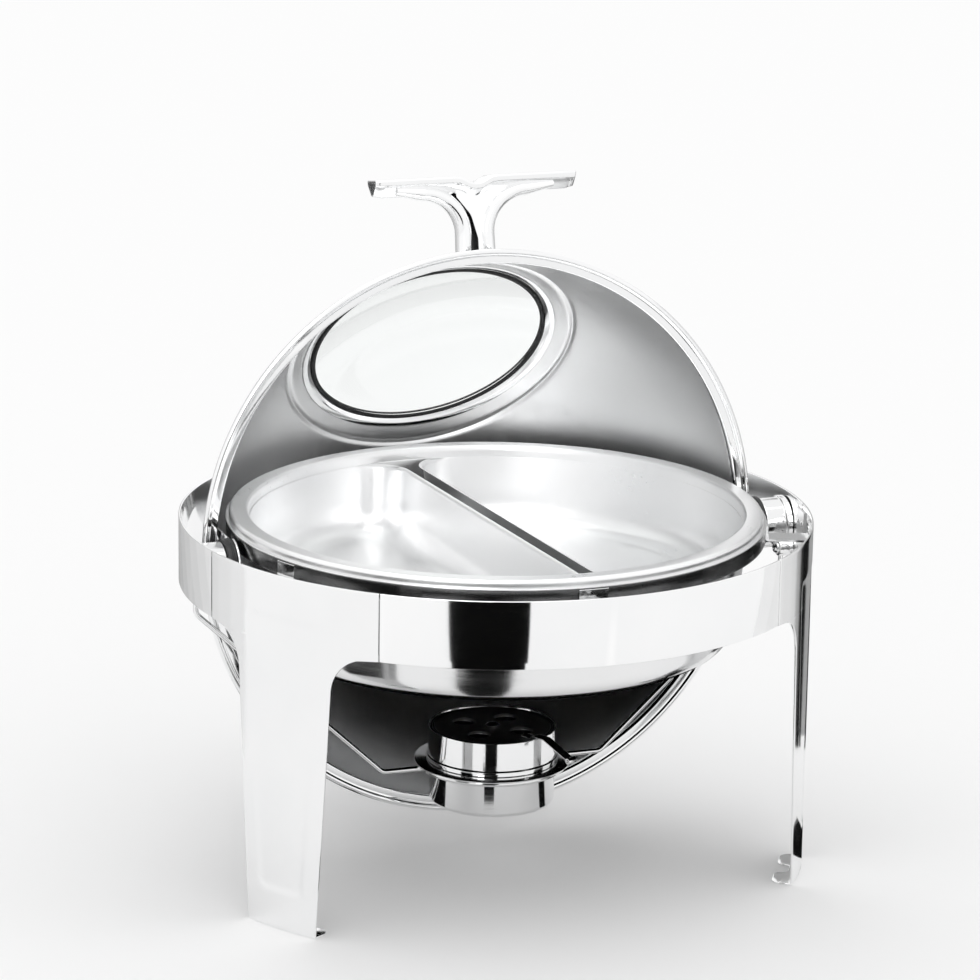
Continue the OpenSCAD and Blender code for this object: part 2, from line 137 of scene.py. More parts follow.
def steel(name, tone, rough, spread, lines, smear=0.03, bump=0.02, pits=0.0, rings=None):
    """Stainless sheet: brush lines, hazy handling marks, hairline scratches and softly worn edges."""
    m, nt, b = new_finish(name)
    b.inputs["Metallic"].default_value = 1.0
    brush = round_grain(nt, *rings) if rings else grain(nt, lines)
    haze = grain(nt, (9, 9, 9), 1.0, 4.0)
    marks = grain(nt, (30, 260, 34), 1.0, 5.0)
    # colour: a touch of tint and cloudiness
    ramp = put(nt, "ShaderNodeValToRGB")
    ramp.color_ramp.elements[0].position = 0.3
    ramp.color_ramp.elements[1].position = 0.75
    ramp.color_ramp.elements[0].color = (tone * 0.955, tone * 0.96, tone * 0.965, 1)
    ramp.color_ramp.elements[1].color = (tone * 1.01, tone * 1.01, tone * 1.01, 1)
    nt.links.new(haze.outputs["Fac"], ramp.inputs["Fac"])
    geo = put(nt, "ShaderNodeNewGeometry")
    wear = span(nt, geo.outputs["Pointiness"], 0.0, 1.0, 0.52, 0.60)
    mix = put(nt, "ShaderNodeMixRGB")
    mix.inputs["Color2"].default_value = (min(1, tone * 1.06),) * 3 + (1,)
    nt.links.new(wear, mix.inputs["Fac"])
    nt.links.new(ramp.outputs["Color"], mix.inputs["Color1"])
    nt.links.new(mix.outputs["Color"], b.inputs["Base Color"])
    # roughness: brush lines, haze and long faint scratches
    r = summed(nt, span(nt, brush.outputs["Fac"], rough, rough + spread),
               span(nt, haze.outputs["Fac"], 0.0, smear))
    r = summed(nt, r, span(nt, marks.outputs["Fac"], 0.0, spread * 0.4, 0.58, 0.80))
    r = summed(nt, r, span(nt, wear, 0.0, 0.04, 0, 1))
    nt.links.new(r, b.inputs["Roughness"])
    height = brush.outputs["Fac"]
    if pits:
        fine = grain(nt, (1500, 1500, 1500), 1.0, 1.0)
        height = summed(nt, height, span(nt, fine.outputs["Fac"], 0, pits))
    bp = put(nt, "ShaderNodeBump")
    bp.inputs["Strength"].default_value = bump
    bp.inputs["Distance"].default_value = 0.0004
    nt.links.new(height, bp.inputs["Height"])
    nt.links.new(bp.outputs["Normal"], b.inputs["Normal"])
    return m


mirror_band = steel("band_mirror_steel", 0.96, 0.03, 0.03, (14, 14, 1500), bump=0.012)
mirror_leg = steel("leg_mirror_steel", 0.93, 0.06, 0.05, (1300, 1300, 9), bump=0.02)
mirror_round = steel("spun_mirror_steel", 0.93, 0.045, 0.05, None, bump=0.012, rings=(1100, 700))
mirror_small = steel("small_part_steel", 0.86, 0.06, 0.05, (420, 420, 420), bump=0.02)
mirror_grip = steel("grip_steel", 0.95, 0.05, 0.04, (24, 1300, 1300), bump=0.012)
dome_satin = steel("dome_satin_steel", 0.96, 0.30, 0.08, (30, 900, 30), smear=0.05, bump=0.06, pits=0.5)
pan_satin = steel("pan_satin_steel", 0.97, 0.26, 0.08, (700, 60, 700), smear=0.05, bump=0.06, pits=0.5)
bath_steel = steel("water_pan_steel", 0.88, 0.10, 0.06, None, bump=0.015, rings=(900, 900))
# painted shade: the hoop's very dark tone stands in for the dark reflections it shows in the shaded gap under
# the pan rim
hoop_painted_shade_finish = steel("hoop_painted_shade_steel", 0.16, 0.16, 0.06, None, bump=0.015, rings=(900, 900))
plate_satin = steel("plate_dark_satin_steel", 0.32, 0.22, 0.08, None, bump=0.03, rings=(1500, 900))
can_satin = steel("can_satin_steel", 0.68, 0.3, 0.1, None, bump=0.04, rings=(1500, 900))


def dull(name, colour, low, high, scale, bump):
    m, nt, b = new_finish(name)
    no = grain(nt, (scale, scale, scale), 1.0, 4.0)
    ramp = put(nt, "ShaderNodeValToRGB")
    ramp.color_ramp.elements[0].color = tuple(c * 0.7 for c in colour) + (1,)
    ramp.color_ramp.elements[1].color = tuple(c * 1.35 for c in colour) + (1,)
    nt.links.new(no.outputs["Fac"], ramp.inputs["Fac"])
    nt.links.new(ramp.outputs["Color"], b.inputs["Base Color"])
    nt.links.new(span(nt, no.outputs["Fac"], low, high), b.inputs["Roughness"])
    bp = put(nt, "ShaderNodeBump")
    bp.inputs["Strength"].default_value = bump
    bp.inputs["Distance"].default_value = 0.0003
    nt.links.new(no.outputs["Fac"], bp.inputs["Height"])
    nt.links.new(bp.outputs["Normal"], b.inputs["Normal"])
    return m


rubber = dull("gasket_black_rubber", (0.012, 0.012, 0.013), 0.42, 0.62, 900, 0.12)
# this black plastic finish is also used as painted shade in the grip's hollow
friction = dull("black_plastic_and_painted_shade", (0.016, 0.016, 0.017), 0.30, 0.45, 700, 0.10)
gel = dull("fuel_gel_finish", (0.30, 0.08, 0.22), 0.15, 0.3, 120, 0.3)


def window_finish():
    m, nt, b = new_finish("window_clear_glass")
    b.inputs["Base Color"].default_value = (0.97, 0.985, 0.98, 1)
    b.inputs["Transmission Weight"].default_value = 1.0
    b.inputs["IOR"].default_value = 1.28
    film = grain(nt, (16, 16, 16), 1.0, 5.0)
    nt.links.new(span(nt, film.outputs["Fac"], 0.0, 0.035, 0.45, 0.8), b.inputs["Roughness"])
    return m


glass = window_finish()


# ---------------------------------------------------------------- making pieces
def new_verts(got):
    return [g for g in got["geom"] if isinstance(g, bmesh.types.BMVert)]


def open_edges(got):
    return [g for g in got["geom"] if isinstance(g, bmesh.types.BMEdge) and g.is_boundary]


def mesh_of(bm, name):
    me = bpy.data.meshes.new(name)
    bm.to_mesh(me)
    bm.free()
    return me


def smooth_mesh(bm, name):
    """The finished mesh in metres, smooth all over."""
    bm.transform(Matrix.Scale(0.001, 4))
    me = mesh_of(bm, name)
    for p in me.polygons:
        p.use_smooth = True
    return me


def shown(name, me, finish):
    """An object for a mesh, linked to the scene, with its finish."""
    ob = bpy.data.objects.new(name, me)
    scene.collection.objects.link(ob)
    me.materials.append(finish)
    return ob


def made(bm, name, finish, body, nodes=(), angle=38, place=None):
    """Closes the mesh, turns it the right way out, puts it in metres and rides it on its body."""
    bmesh.ops.remove_doubles(bm, verts=bm.verts, dist=1e-4)
    if place is not None:
        bm.transform(place)
    bmesh.ops.recalc_face_normals(bm, faces=bm.faces)
    me = smooth_mesh(bm, name)
    me.set_sharp_from_angle(angle=rad(angle))
    ob = shown(name, me, finish)
    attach(ob, body)
    if nodes:
        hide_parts(*nodes)
    return ob


def eased(points, radius, steps=5, closed=True):
    """A profile with its corners rounded; radius is one value or one for each point."""
    n = len(points)
    radii = radius if isinstance(radius, (list, tuple)) else [radius] * n
    out = []
    for i, (p, r) in enumerate(zip(points, radii)):
        p = Vector((p[0], p[1]))
        if r <= 0 or (not closed and i in (0, n - 1)):
            out.append(p)
            continue
        a = Vector(points[i - 1]) - p
        b = Vector(points[(i + 1) % n]) - p
        half = a.angle(b, math.pi) / 2
        if half > rad(89.5):
            out.append(p)
            continue
        run = min(r / math.tan(half), a.length * 0.49, b.length * 0.49)
        r2 = run * math.tan(half)
        mid = (a.normalized() + b.normalized()).normalized()
        c = p + mid * (r2 / math.sin(half))
        u, v = p + a.normalized() * run - c, p + b.normalized() * run - c
        turn = u.angle_signed(v)
        for k in range(steps + 1):
            t = -turn * k / steps
            co, si = math.cos(t), math.sin(t)
            out.append(c + Vector((u.x * co - u.y * si, u.x * si + u.y * co)))
    return [(q.x, q.y) for q in out]


def spun(points, a0=0.0, a1=360.0, steps=128, closed=True):
    """A (radius, height) profile spun round Z; 0 is the front and angles grow towards +X."""
    own = bmesh.new()
    vs = [own.verts.new((r, 0, z)) for r, z in points]
    es = [own.edges.new((vs[i], vs[i + 1])) for i in range(len(vs) - 1)]
    if closed:
        es.append(own.edges.new((vs[-1], vs[0])))
    bmesh.ops.rotate(own, verts=vs, cent=(0, 0, 0), matrix=Matrix.Rotation(rad(a0 - 90), 3, "Z"))
    whole = abs(a1 - a0 - 360) < 1e-6
    bmesh.ops.spin(own, geom=vs + es, cent=(0, 0, 0), axis=(0, 0, 1), angle=rad(a1 - a0), steps=steps,
                   use_merge=whole, use_duplicate=False)
    if closed and not whole:
        bmesh.ops.remove_doubles(own, verts=own.verts, dist=1e-5)
        bmesh.ops.holes_fill(own, edges=[e for e in own.edges if e.is_boundary], sides=0)
    bmesh.ops.remove_doubles(own, verts=own.verts, dist=1e-5)
    return own


def joined(bm, other, place=None):
    if place is not None:
        other.transform(place)
        if place.determinant() < 0:
            bmesh.ops.reverse_faces(other, faces=other.faces)
    me = mesh_of(other, "join")
    bm.from_mesh(me)
    bpy.data.meshes.remove(me)
    return bm


def swept(section, frames, caps=True):
    """A closed section carried through a row of 4x4 frames."""
    bm = bmesh.new()
    vs = [bm.verts.new(frames[0] @ Vector((x, y, 0))) for x, y in section]
    es = [bm.edges.new((vs[i], vs[(i + 1) % len(vs)])) for i in range(len(vs))]
    if caps:
        bm.faces.new(vs)
    for a, b in zip(frames, frames[1:]):
        got = bmesh.ops.extrude_edge_only(bm, edges=es)
        new = new_verts(got)
        es = open_edges(got)
        bmesh.ops.transform(bm, matrix=b @ a.inverted(), verts=new)
    if caps:
        bmesh.ops.contextual_create(bm, geom=es)
    return bm


def along(points, side=(0, 1, 0), scales=None):
    """Frames along a line of points: local Z follows it, local Y keeps to the side direction."""
    out = []
    for i, p in enumerate(points):
        a, b = points[max(i - 1, 0)], points[min(i + 1, len(points) - 1)]
        z = (Vector(b) - Vector(a)).normalized()
        y = Vector(side) - z * z.dot(Vector(side))
        y.normalize()
        x = y.cross(z)
        m = Matrix((x, y, z)).transposed().to_4x4()
        m.translation = Vector(p)
        if scales:
            sx, sy = scales[i]
            m = m @ Matrix.Diagonal((sx, sy, 1, 1))
        out.append(m)
    return out


def circle(r, n=20, squash=1.0):
    return [(r * math.cos(2 * math.pi * k / n), squash * r * math.sin(2 * math.pi * k / n)) for k in range(n)]


def bend(points, radius, steps=8):
    """A 3-D line with its corners turned on a radius."""
    out = [Vector(points[0])]
    for i in range(1, len(points) - 1):
        p = Vector(points[i])
        a, b = Vector(points[i - 1]) - p, Vector(points[i + 1]) - p
        half = a.angle(b) / 2
        run = min(radius / math.tan(half), a.length * 0.49, b.length * 0.49)
        s, e = p + a.normalized() * run, p + b.normalized() * run
        for k in range(steps + 1):
            t = k / steps
            out.append(s.lerp(p, t).lerp(p.lerp(e, t), t))
    out.append(Vector(points[-1]))
    return out


def at(azimuth):
    return Matrix.Rotation(rad(azimuth), 4, "Z")


def rows(low, high, n):
    return [low + (high - low) * k / n for k in range(n + 1)]


# ---------------------------------------------------------------- ring bands
BAND = eased([(RING_IN, RING_BOT), (RING_R, RING_BOT), (RING_R, RING_TOP), (RING_IN, RING_TOP)], 0.5, 3)
for name, a0, a1 in (("front", -40, 40), ("right", 80, 160), ("left", -160, -80)):
    made(spun(BAND, a0 + 0.07, a1 - 0.07, 64), "ring_band_" + name, mirror_band, "frame", ["band_" + name])

# ---------------------------------------------------------------- legs
PANEL_U = RING_R * math.sin(rad(20)) - 0.5
FILLET = 30.0
LEG_T = 1.5


def edge_at(z):
    return 33.0 + 13.0 * z / RING_BOT


def leg_half_width(z):
    if z >= RING_BOT:
        return PANEL_U
    if z <= RING_BOT - FILLET:
        return edge_at(z)
    c = edge_at(RING_BOT - FILLET) + FILLET
    h = z - (RING_BOT - FILLET)
    return c - math.sqrt(max(FILLET * FILLET - h * h, 0))


def ease(t):
    t = max(0.0, min(1.0, t))
    return t * t * t * (t * (6 * t - 15) + 10)


def press(u, z):
    """Depth of the pressed panel: flat in the middle, soft shoulders, round corners."""
    half = edge_at(z) - 11.0
    du, dz = abs(u) - half + 9, max(26 + 9 - z, z - 238 + 9)
    if du > 0 and dz > 0:
        d = 9 - math.hypot(du, dz)
    else:
        d = 9 - max(du, dz)
    return 1.1 * ease(d / 7.5)


def leg(name, azimuth, node):
    bm = bmesh.new()
    levels = rows(0, RING_BOT - FILLET, 60)
    levels += rows(RING_BOT - FILLET, RING_BOT, 20)[1:]
    levels += rows(RING_BOT + 0.01, RING_TOP, 18)
    bmesh.ops.create_grid(bm, x_segments=72, y_segments=len(levels) - 1, size=1)
    for v in bm.verts:
        z = levels[round((v.co.y + 1) / 2 * (len(levels) - 1))]
        w = leg_half_width(z)
        t = v.co.x
        u = t * w
        r = RING_R - press(u, z)
        v.co = Vector((u, -math.sqrt(r * r - u * u), z))
    bmesh.ops.recalc_face_normals(bm, faces=bm.faces)
    if sum(f.normal.y * f.calc_area() for f in bm.faces) > 0:
        bmesh.ops.reverse_faces(bm, faces=bm.faces)
    skin = bm.faces[:]
    rim = [e for e in bm.edges if e.is_boundary]
    # the sheet's own thickness, with a rolled edge all round
    back = bmesh.ops.duplicate(bm, geom=skin)
    inner = [g for g in back["geom"] if isinstance(g, bmesh.types.BMFace)]
    for v in {v for f in inner for v in f.verts}:
        d = math.hypot(v.co.x, v.co.y)
        k = (d - LEG_T) / d
        v.co.x *= k
        v.co.y *= k
    bmesh.ops.reverse_faces(bm, faces=inner)
    rim2 = open_edges(back)
    bmesh.ops.bridge_loops(bm, edges=rim + rim2)
    edge = [e for e in bm.edges if e.calc_face_angle(0) > rad(60)]
    bmesh.ops.bevel(bm, geom=edge, offset=0.35, segments=2, affect="EDGES", profile=0.5, material=-1)
    # two round-ended tongues turned in on the floor
    out = [(-33, -235.2)]
    out += [(-33, -219), (-9, -219), (-9, -229), (9, -229), (9, -219), (33, -219), (33, -235.2)]
    rr = [0, 10, 10, 8.9, 8.9, 10, 10, 0]
    pts = eased(out, rr, 8)
    foot = bmesh.new()
    f = foot.faces.new([foot.verts.new((x, y, 0.0)) for x, y in pts])
    got = bmesh.ops.extrude_face_region(foot, geom=[f])
    bmesh.ops.translate(foot, verts=new_verts(got), vec=(0, 0, LEG_T))
    top = [e for e in foot.edges if e.calc_face_angle(0) > rad(60)]
    bmesh.ops.bevel(foot, geom=top, offset=0.4, segments=2, affect="EDGES", profile=0.5, material=-1)
    joined(bm, foot)
    return made(bm, name, mirror_leg, "frame", [node], place=at(azimuth))


leg("front_left_leg", -60, "leg_front_left")
leg("front_right_leg", 60, "leg_front_right")
leg("rear_leg", 180, "leg_rear")

# ---------------------------------------------------------------- dome lid
HOLE_R = DOME_R * math.sin(rad(WIN_HALF)) + 1.6
HOLE_A = math.degrees(math.asin(HOLE_R / DOME_R))
BEAD_A = WIN_HALF + 6.7


def dome_profile(r, low, high):
    angles = []
    a = low
    while a < high:
        angles.append(a)
        a += 0.25 if abs(a - BEAD_A) < 3 else 1.5
    angles.append(high)
    out = []
    for a in angles:
        d = (a - BEAD_A) / 0.62
        swell = 1.55 * math.exp(-d * d) - 0.35 * ease((BEAD_A - a) / 0.8)
        out.append(((r + swell) * math.sin(rad(a)), (r + swell) * math.cos(rad(a))))
    return out


def lid_shell():
    bm = spun(dome_profile(DOME_R - 0.02, HOLE_A, 180), steps=192, closed=False)
    bm.transform(aim(WIN_ELEV))
    # the rim's plane, lid open, is upright at this distance behind the pivot
    bmesh.ops.bisect_plane(bm, geom=bm.verts[:] + bm.edges[:] + bm.faces[:], plane_co=(0, RIM_OFF, 0),
                           plane_no=(0, 1, 0), clear_inner=True, clear_outer=False)
    centre = DOME.translation
    bmesh.ops.remove_doubles(bm, verts=bm.verts, dist=1e-4)
    bmesh.ops.recalc_face_normals(bm, faces=bm.faces)
    if sum(f.normal.dot(f.calc_center_median() - centre) for f in bm.faces) < 0:
        bmesh.ops.reverse_faces(bm, faces=bm.faces)
    ob = shown("dome_shell", smooth_mesh(bm, "dome_shell"), dome_satin)
    wall = ob.modifiers.new("wall", "SOLIDIFY")
    wall.thickness = 0.00095
    wall.offset = -1
    wall.use_even_offset = True
    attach(ob, "lid")
    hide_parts("lid_shell")
    return ob


lid_shell()

# the rim: a flare out of the dome, a flat land and a rolled edge
RIM = eased([(208.6, 36.5), (208.8, 31.5), (214, 31.4), (215.4, 31.0), (216.0, 29.9), (217.8, 29.25),
             (219.9, 30.6), (219.9, 32.6),
             (218.0, 33.55), (216.0, 33.0), (211.6, 33.0), (210.4, 34.2), (209.75, 36.5)],
            [0.2, 1.2, 1, 0.8, 1.0, 1.6, 1.2, 1.2, 1.2, 0.8, 1.4, 1.0, 0.2], 4)
made(spun(RIM, steps=192), "lid_rim_flange", mirror_round, "lid", ["lid_rim"],
     place=LID_OPEN)

# window: glass, rubber channel and a bright trim ring on each side

def on_dome(r, degrees):
    return (r * math.sin(rad(degrees)), r * math.cos(rad(degrees)))


outer = [on_dome(DOME_R - 0.4, a) for a in rows(0, WIN_HALF - 0.25, 18)]
inner = [on_dome(DOME_R - 3.2, a) for a in rows(WIN_HALF - 0.25, 0, 18)]
made(spun(outer + inner, steps=128, closed=False), "window_pane", glass, "lid", ["window_glass"],
     place=aim(WIN_ELEV))
RUBBER = eased([on_dome(DOME_R - 4.2, WIN_HALF - 0.18), on_dome(DOME_R - 4.2, WIN_HALF + 0.55),
                on_dome(DOME_R - 1.6, WIN_HALF + 0.60), on_dome(DOME_R - 1.6, WIN_HALF + 0.5),
                on_dome(DOME_R + 0.2, WIN_HALF + 0.5), on_dome(DOME_R + 0.2, WIN_HALF + 0.95),
                on_dome(DOME_R + 1.9, WIN_HALF + 0.85), on_dome(DOME_R + 1.9, WIN_HALF - 0.35),
                on_dome(DOME_R - 0.2, WIN_HALF - 0.45), on_dome(DOME_R - 0.2, WIN_HALF - 0.2),
                on_dome(DOME_R - 3.4, WIN_HALF - 0.2), on_dome(DOME_R - 3.4, WIN_HALF - 0.30)],
               [0.7, 0.7, 0.1, 0.1, 0.3, 0.3, 0.9, 0.9, 0.2, 0.2, 0.2, 0.1], 4)
made(spun(RUBBER, steps=160), "window_seal", rubber, "lid", ["window_gasket"],
     place=aim(WIN_ELEV))


def trim(r0, r1, c0, c1):
    r2 = r1 + (0.55 if r1 > r0 else -0.55)
    mid = (c0 + c1) / 2
    return eased([on_dome(r0, c0), on_dome(r1, c0 + 0.1), on_dome(r2, mid), on_dome(r1, c1 - 0.12),
                  on_dome(r0, c1)],
                 [0.2, 0.6, 3, 0.6, 0.2], 4)


made(spun(trim(DOME_R + 0.02, DOME_R + 1.2, WIN_HALF + 1.0, WIN_HALF + 3.0), steps=160),
     "window_ring_outside",
     mirror_round, "lid", ["window_trim_outer"], place=aim(WIN_ELEV))
made(spun(trim(DOME_R - 1.42, DOME_R - 2.7, WIN_HALF + 0.62, WIN_HALF + 3.0), steps=160),
     "window_ring_inside",
     mirror_round, "lid", ["window_trim_inner"], place=aim(WIN_ELEV))

# ---------------------------------------------------------------- handle
BAR_W = DOME_R + GRIP_OUT
GRIP = aim(GRIP_ELEV)
ARM_END = 78.0
# turns a section so that it is carried along X
ALONG_ARM = Matrix.Rotation(rad(90), 4, "Z") @ Matrix.Rotation(rad(90), 4, "X")
VEE = eased([(-11.5, 0), (11.5, 0), (10.4, -4.4), (2.4, -13.4), (-2.4, -13.4), (-10.4, -4.4)],
            [1.4, 1.4, 4.0, 3.0, 3.0, 4.0], 5)


def plate(points, y0, y1):
    """An upright plate cut to an outline given as (x, height above the dome)."""
    bm = bmesh.new()
    f = bm.faces.new([bm.verts.new((x, y0, DOME_R + h)) for x, h in points])
    got = bmesh.ops.extrude_face_region(bm, geom=[f])
    bmesh.ops.translate(bm, verts=new_verts(got), vec=(0, y1 - y0, 0))
    return bm


def grip():
    bm = bmesh.new()
    top = BAR_W + 7.0
    for s in (-1, 1):
        # the arm: a deep rounded V under a flat top, open at its end
        xs = [0.0, 2, 4, 6, 8, 10, 13, 17, 22, 28, 36, 46, 58, 68, 73, 76, 78, 79]
        frames = []
        for x in xs:
            dip = 5.0 * (1 - ease(x / 17.0))
            tip = ease((79.6 - x) / 8.0)
            m = Matrix.Translation((s * x, 0, top - dip)) @ ALONG_ARM
            frames.append(m @ Matrix.Diagonal((0.90 + 0.1 * tip, 0.90 + 0.1 * tip, 1, 1)))
        if s > 0:
            # this end is closed and rounded
            last = frames[-1]
            frames += [last @ Matrix.Translation((0, 0, d)) @ Matrix.Diagonal((k, k, 1, 1)) for d,
                       k in ((0.9, 0.93), (1.6, 0.8), (2.0, 0.5))]
        arm = swept(VEE, frames, caps=False)
        caps = [e for e in arm.edges if e.is_boundary and e.verts[0].co.x > ARM_END]
        if caps:
            bmesh.ops.contextual_create(arm, geom=caps)
        ends = [e for e in arm.edges if e.is_boundary and e.verts[0].co.x < -ARM_END]
        if ends:
            # the other end is hollow: a wall's thickness in, then back along the arm
            got = bmesh.ops.extrude_edge_only(arm, edges=ends)
            new = new_verts(got)
            mid = sum((v.co for v in new), Vector()) / len(new)
            wall = Matrix.Translation(mid) @ Matrix.Diagonal((1, 0.91, 0.86, 1)) @ Matrix.Translation(-mid)
            bmesh.ops.transform(arm, matrix=wall, verts=new)
            ring = open_edges(got)
            got = bmesh.ops.extrude_edge_only(arm, edges=ring)
            new = new_verts(got)
            bmesh.ops.translate(arm, verts=new, vec=(6, 0, 0))
            ring = open_edges(got)
            bmesh.ops.contextual_create(arm, geom=ring)
        joined(bm, arm)
        # the leg: up from its foot and out on a wide curve into the arm's underside
        line, size = [], []
        for t in rows(0, 1, 5):
            line.append((s * (9.6 - 0.8 * t), 0, DOME_R + 2.2 + t * (BAR_W - 38 - DOME_R)))
            size.append((1.0 + 0.05 * t, 1.0 + 0.1 * t))
        for a in rows(0, 90, 14)[1:]:
            line.append((s * (8.8 + 33 * (1 - math.cos(rad(a)))), 0, BAR_W - 36 + 32.0 * math.sin(rad(a))))
            size.append((1.05 - 0.1 * a / 90, 1.1 + 0.25 * a / 90))
        line.append((s * 62, 0, BAR_W - 1.5))
        size.append((0.6, 1.2))
        leg_bm = swept(circle(6.2, 28, 1.25), along(line, scales=size))
        joined(bm, leg_bm)
    # the web that runs from the right leg up into both arms
    joined(bm, plate(eased([(0.9, 5), (0.9, 16), (-4, 34), (-15, 48), (-15, 56), (25, 56), (25, 48), (11, 33),
                            (7, 5)],
                           [0.5, 14, 14, 3, 0.5, 0.5, 3, 14, 0.5], 6), -5.6, -3.6))
    return made(bm, "grip_t_bar", mirror_grip, "lid", ["grip_bar"], place=GRIP)


def grip_hollow():
    """Painted shade: a dark plate and plug standing in for the shaded hollow of the folded sheet, between the
    two legs and inside the open end.
    """
    bm = plate(eased([(-8, 4), (5, 4), (5, 50), (-31, 51), (-31, 46), (-20, 40), (-11, 28), (-8, 14)],
                     [0.5, 0.5, 1, 1, 1, 8, 8, 8], 5), 1.0, 2.6)
    m = Matrix.Translation((-75.5, 0, BAR_W + 7.0 - 0.9)) @ ALONG_ARM
    joined(bm, swept([(x * 0.88, y * 0.84) for x, y in VEE], [m, m @ Matrix.Translation((0, 0, 1.2))]))
    # the dark plate is painted shade, drawn in the black plastic finish
    return made(bm, "grip_hollow_painted_shade", friction, "lid", [], place=GRIP)


grip()
grip_hollow()
feet, screws = bmesh.new(), bmesh.new()
for s in (-1, 1):
    tilt = Matrix.Rotation(s * math.asin(10 / DOME_R), 4, "Y")
    joined(feet, spun(eased([(2.0, 0.2), (8.2, 0.2), (8.2, 1.4), (6.4, 2.8), (2.0, 2.8)],
                            [0, 0.3, 0.8, 0.8, 0], 4), steps=48),
           tilt @ Matrix.Translation((0, 0, DOME_R)))
    head = spun(eased([(0, -3.3), (3.4, -3.1), (5.0, -1.6), (5.0, -1.08), (0, -1.08)], [0, 1.5, 0.8, 0.1, 0],
                      4), steps=36, closed=False)
    joined(screws, head, tilt @ Matrix.Translation((0, 0, DOME_R)))
made(feet, "grip_foot_pads", mirror_small, "lid", ["grip_feet"], place=GRIP)
made(screws, "grip_screw_heads", mirror_small, "lid", ["grip_screws"], place=GRIP)

# ---------------------------------------------------------------- food pan
TURN = 4.0
DIV_W, DIV_TOP = 17.0, PAN_TOP - 9.0


def wall_r(z):
    return 177.0 + (PAN_IN - 177.0) * (z - PAN_FLOOR) / (PAN_TOP - PAN_FLOOR)


def dee(radius, chord, corner, n_arc=72, n_corner=14, n_chord=26):
    """Points round a D-shaped opening: the pan's wall, two round corners and the divider's side.
    Gives (x, y, share) where share is 1 beside the divider and 0 on the wall."""
    cx = chord + corner
    reach = radius - corner
    cy = math.sqrt(reach * reach - cx * cx)
    a_wall = math.atan2(cy, cx)
    out = []
    for k in range(n_arc + 1):
        a = -a_wall + 2 * a_wall * k / n_arc
        out.append((radius * math.cos(a), radius * math.sin(a), 0.0))
    for k in range(1, n_corner + 1):
        a = a_wall + (math.pi - a_wall) * k / n_corner
        out.append((cx + corner * math.cos(a), cy + corner * math.sin(a), min(1.0, k / 5.0)))
    for k in range(1, n_chord):
        out.append((chord, cy - 2 * cy * k / n_chord, 1.0))
    for k in range(0, n_corner):
        a = math.pi + (math.pi - a_wall) * k / n_corner
        out.append((cx + corner * math.cos(a), -cy + corner * math.sin(a), min(1.0, (n_corner - k) / 5.0)))
    return out


def ring_of(bm, points):
    """A closed loop of edges through a row of points."""
    vs = [bm.verts.new(p) for p in points]
    return [bm.edges.new((vs[k - 1], vs[k])) for k in range(len(vs))]


def divided_side(points, z, grow, s):
    """One level of a D-shaped opening, let out over the divider's rounded top by grow."""
    out = []
    for j, (x, y, share) in enumerate(points):
        (px, py, _), (qx, qy, _) = points[j - 1], points[(j + 1) % len(points)]
        t = Vector((qx - px, qy - py)).normalized()
        out.append((s * (x + t.y * grow * share), y - t.x * grow * share, z))
    return out


def food_pan():
    lip, corner, side_corner, slope = 3.2, 20.0, 26.0, 0.10
    wall_foot = PAN_FLOOR + corner
    low = DIV_TOP - lip
    # wall above the divider, flat rim, turned-down lip and the outside of the bowl
    profile = [(wall_r(DIV_TOP) + 0.3, DIV_TOP), (wall_r(DIV_TOP + 5.0), DIV_TOP + 5.0)]
    profile += eased([(wall_r(DIV_TOP + 5.2), DIV_TOP + 5.2), (PAN_IN + 0.2, PAN_TOP), (PAN_R, PAN_TOP),
                      (PAN_R, PAN_TOP - 6.2),
                      (PAN_R - 0.9, PAN_TOP - 6.2), (PAN_R - 0.9, PAN_TOP - 1.0),
                      (PAN_IN + 1.0, PAN_TOP - 1.0),
                      (wall_r(PAN_FLOOR) + 0.9, PAN_FLOOR - 0.9), (0, PAN_FLOOR - 0.9)],
                     [0, 3.4, 3.4, 0.4, 0.4, 2.4, 2.4, 20.9, 0], 8, closed=False)
    bm = spun(profile, steps=192, closed=False)
    levels = [(DIV_TOP - lip * (1 - math.cos(rad(a))), lip * (1 - math.sin(rad(a)))) for a in rows(0, 90, 6)]
    for s in (1, -1):
        loops = [divided_side(dee(wall_r(z), DIV_W / 2, side_corner), z, grow, s) for z, grow in levels]
        for z in rows(low, wall_foot, 3)[1:]:
            loops.append(divided_side(dee(wall_r(z), DIV_W / 2 + slope * (low - z), side_corner), z, 0, s))
        for a in rows(0, 90, 9)[1:]:
            inset = corner * (1 - math.cos(rad(a)))
            shape = dee(wall_r(wall_foot) - inset, DIV_W / 2 + slope * (low - wall_foot) + inset,
                        side_corner - 0.9 * inset)
            loops.append(divided_side(shape, wall_foot - corner * math.sin(rad(a)), 0, s))
        last = ring_of(bm, loops[0])
        for points in loops[1:]:
            new = ring_of(bm, points)
            bmesh.ops.bridge_loops(bm, edges=last + new)
            last = new
        bmesh.ops.contextual_create(bm, geom=last)
    # the divider's flat top, from the round wall to both openings
    rims = [e for e in bm.edges if e.is_boundary]
    inside = {v for e in rims for v in e.verts if math.hypot(v.co.x, v.co.y) < wall_r(DIV_TOP) + 0.2}
    bmesh.ops.triangle_fill(bm, edges=rims, use_beauty=True, normal=(0, 0, 1))
    inner = [f for f in bm.faces if all(v in inside for v in f.verts)]
    lids = [f for f in inner if len({v.co.x > 0 for v in f.verts}) == 1]
    bmesh.ops.delete(bm, geom=lids, context="FACES_ONLY")
    return made(bm, "divided_food_pan", pan_satin, "food_pan", ["food_pan"], angle=60,
                place=at(TURN))


food_pan()

